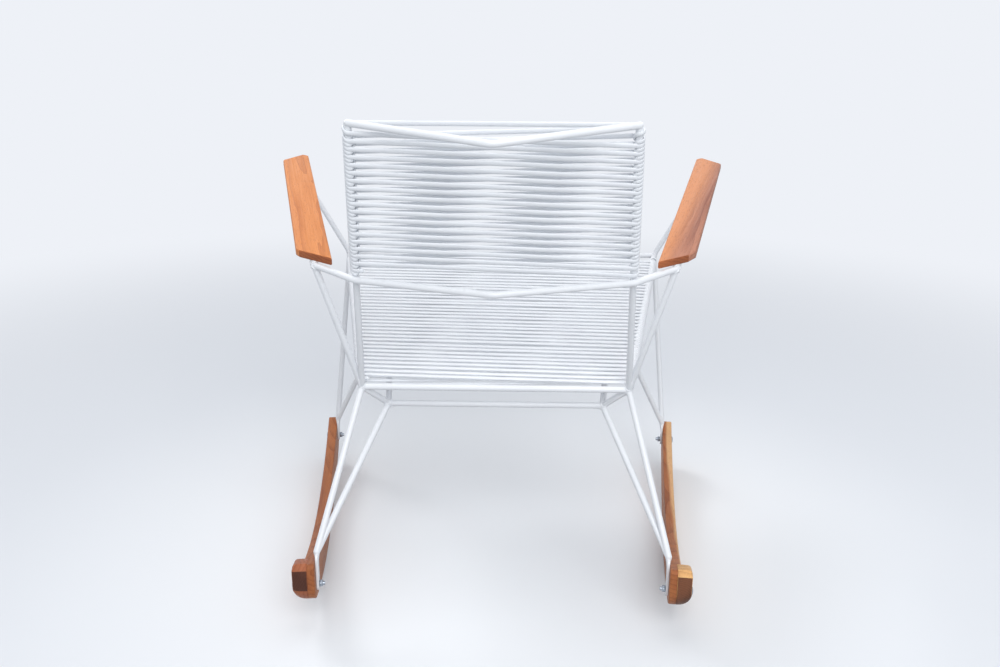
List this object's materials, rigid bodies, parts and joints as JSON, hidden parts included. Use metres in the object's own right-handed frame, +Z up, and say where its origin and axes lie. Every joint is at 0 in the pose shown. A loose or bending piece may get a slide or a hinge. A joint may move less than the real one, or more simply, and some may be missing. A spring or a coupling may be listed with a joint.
{
  "type": "string rocking chair",
  "caption": "Low rocking chair: a white welded rod frame on curved wooden rockers, slanted wooden armrests, and a seat and back of wound plastic cord",
  "frame": {"origin": "middle of the bounding box's base, on the floor", "axes": "+Z up, +Y to the front of the chair, +X to the right of the picture, which is taken from behind"},
  "size_m": [0.836, 0.7634, 0.7741],
  "materials": {
    "frame_paint": "satin",
    "cord": "satin",
    "arm_wood": "satin",
    "rocker_wood": "satin",
    "heel_wood": "matte",
    "hardware": "satin"
  },
  "bodies": {
    "root": {"arm_back_bar": "frame_paint", "arm_rail_l": "frame_paint", "arm_rail_r": "frame_paint", "arm_strut_l": "frame_paint", "arm_strut_r": "frame_paint", "armrest_l": "arm_wood", "armrest_r": "arm_wood", "back_rail_l": "frame_paint", "back_rail_r": "frame_paint", "back_winding": "cord", "front_bolt_l": "hardware", "front_bolt_r": "hardware", "front_foot_l": "frame_paint", "front_foot_r": "frame_paint", "front_inner_leg_l": "frame_paint", "front_inner_leg_r": "frame_paint", "front_nut_l": "hardware", "front_nut_r": "hardware", "front_post_l": "frame_paint", "front_post_r": "frame_paint", "lower_front_bar": "frame_paint", "lower_rear_bar": "frame_paint", "lower_side_bar_l": "frame_paint", "lower_side_bar_r": "frame_paint", "rear_bolt_l": "hardware", "rear_bolt_r": "hardware", "rear_foot_l": "frame_paint", "rear_foot_r": "frame_paint", "rear_inner_leg_l": "frame_paint", "rear_inner_leg_r": "frame_paint", "rear_nut_l": "hardware", "rear_nut_r": "hardware", "rear_outer_leg_l": "frame_paint", "rear_outer_leg_r": "frame_paint", "rear_strut_l": "frame_paint", "rear_strut_r": "frame_paint", "rocker_heel_l": "heel_wood", "rocker_heel_r": "heel_wood", "rocker_l": "rocker_wood", "rocker_r": "rocker_wood", "seat_front_bar": "frame_paint", "seat_rail_l": "frame_paint", "seat_rail_r": "frame_paint", "seat_rear_bar": "frame_paint", "seat_winding_front": "cord", "seat_winding_rear": "cord", "top_bar": "frame_paint"}
  },
  "joints": []
}
